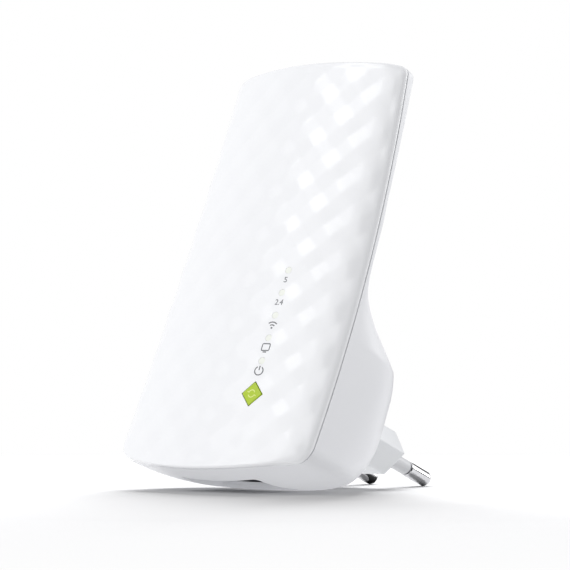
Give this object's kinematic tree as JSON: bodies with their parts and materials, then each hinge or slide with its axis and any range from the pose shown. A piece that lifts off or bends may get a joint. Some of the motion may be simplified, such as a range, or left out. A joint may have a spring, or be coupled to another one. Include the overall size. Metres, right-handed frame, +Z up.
{
  "type": "wifi range extender",
  "caption": "White plug-in wifi range extender with a bowed front, a green pairing button, status lights, a network socket underneath and a round-pin mains plug behind.",
  "frame": {"origin": "on the floor under the middle of the device as it stands in the picture, leaning back on its heel and its plug pins", "axes": "+X to the right seen from the front, +Y from the front face to the plug, +Z up"},
  "size_m": [0.0656, 0.0784, 0.1086],
  "materials": {
    "satin_white_abs": "satin white moulded ABS",
    "housing_white_abs": "satin white moulded ABS",
    "plug_white_abs": "satin white moulded ABS",
    "sleeve_pvc": "moulded insulating sleeve",
    "nickel_plated_brass": "polished nickel plating",
    "green_abs": "satin yellow-green ABS",
    "frosted_acrylic": "frosted light guide",
    "black_nylon": "moulded black nylon",
    "zinc_plated_steel": "bright zinc plating",
    "tinned_steel": "tinned sheet",
    "green_solder_mask": "solder mask over glass-fibre board",
    "epoxy_black": "moulded epoxy",
    "led_lens": "clear resin over phosphor",
    "ferrite": "sintered ferrite",
    "polyester_tape": "taped winding",
    "capacitor_sleeve": "dark shrink sleeve",
    "resistor_lacquer": "lacquered body",
    "tinned_copper": "tinned stamped copper",
    "red_pvc": "red lead",
    "black_pvc": "black lead",
    "grey_fep": "grey coaxial lead"
  },
  "bodies": {
    "casing": {"front_cover": "satin_white_abs", "rear_housing": "housing_white_abs", "port_bezel": "housing_white_abs", "plug_body": "plug_white_abs", "pin_sleeve_left": "sleeve_pvc", "pin_sleeve_right": "sleeve_pvc", "pin_left": "nickel_plated_brass", "pin_right": "nickel_plated_brass", "light_guide": "frosted_acrylic", "pair_switch_body": "black_nylon", "reset_switch_body": "black_nylon", "lan_jack_insert": "black_nylon", "board_screw_1": "zinc_plated_steel", "board_screw_2": "zinc_plated_steel", "board_screw_3": "zinc_plated_steel", "board_screw_4": "zinc_plated_steel", "shield_can": "tinned_steel", "crystal": "tinned_steel", "lan_jack_shell": "tinned_steel", "main_board": "green_solder_mask", "power_board": "green_solder_mask", "wifi_chip": "epoxy_black", "flash_chip": "epoxy_black", "lan_magnetics": "epoxy_black", "bridge_rectifier": "epoxy_black", "led_1": "led_lens", "led_2": "led_lens", "led_3": "led_lens", "led_4": "led_lens", "led_5": "led_lens", "transformer_core": "ferrite", "transformer_winding": "polyester_tape", "bulk_capacitor_left": "capacitor_sleeve", "bulk_capacitor_right": "capacitor_sleeve", "output_capacitor": "capacitor_sleeve", "fusible_resistor": "resistor_lacquer", "antenna_left": "tinned_copper", "antenna_right": "tinned_copper", "supply_lead_red": "red_pvc", "supply_lead_black": "black_pvc", "antenna_lead_left": "grey_fep", "antenna_lead_right": "grey_fep"},
    "pair_button_body": {"pair_button": "green_abs"},
    "pair_switch_plunger_body": {"pair_switch_plunger": "zinc_plated_steel"},
    "reset_plunger_body": {"reset_switch_plunger": "zinc_plated_steel"}
  },
  "joints": [
    {"name": "pair_button_press", "type": "slide", "parent": "casing", "child": "pair_button_body", "axis": [0, 0.924, -0.3824], "range_m": [0, 0.0003], "stiffness_N_per_m": 400},
    {"name": "pair_switch_press", "type": "slide", "parent": "casing", "child": "pair_switch_plunger_body", "axis": [0, 0.924, -0.3824], "range_m": [0, 0.0003], "stiffness_N_per_m": 60},
    {"name": "reset_press", "type": "slide", "parent": "casing", "child": "reset_plunger_body", "axis": [0, 0.3824, 0.924], "range_m": [0, 0.0003], "stiffness_N_per_m": 300}
  ],
  "couplings": [
    {"joint": "pair_switch_press", "follows": "pair_button_press", "ratio": 1}
  ]
}
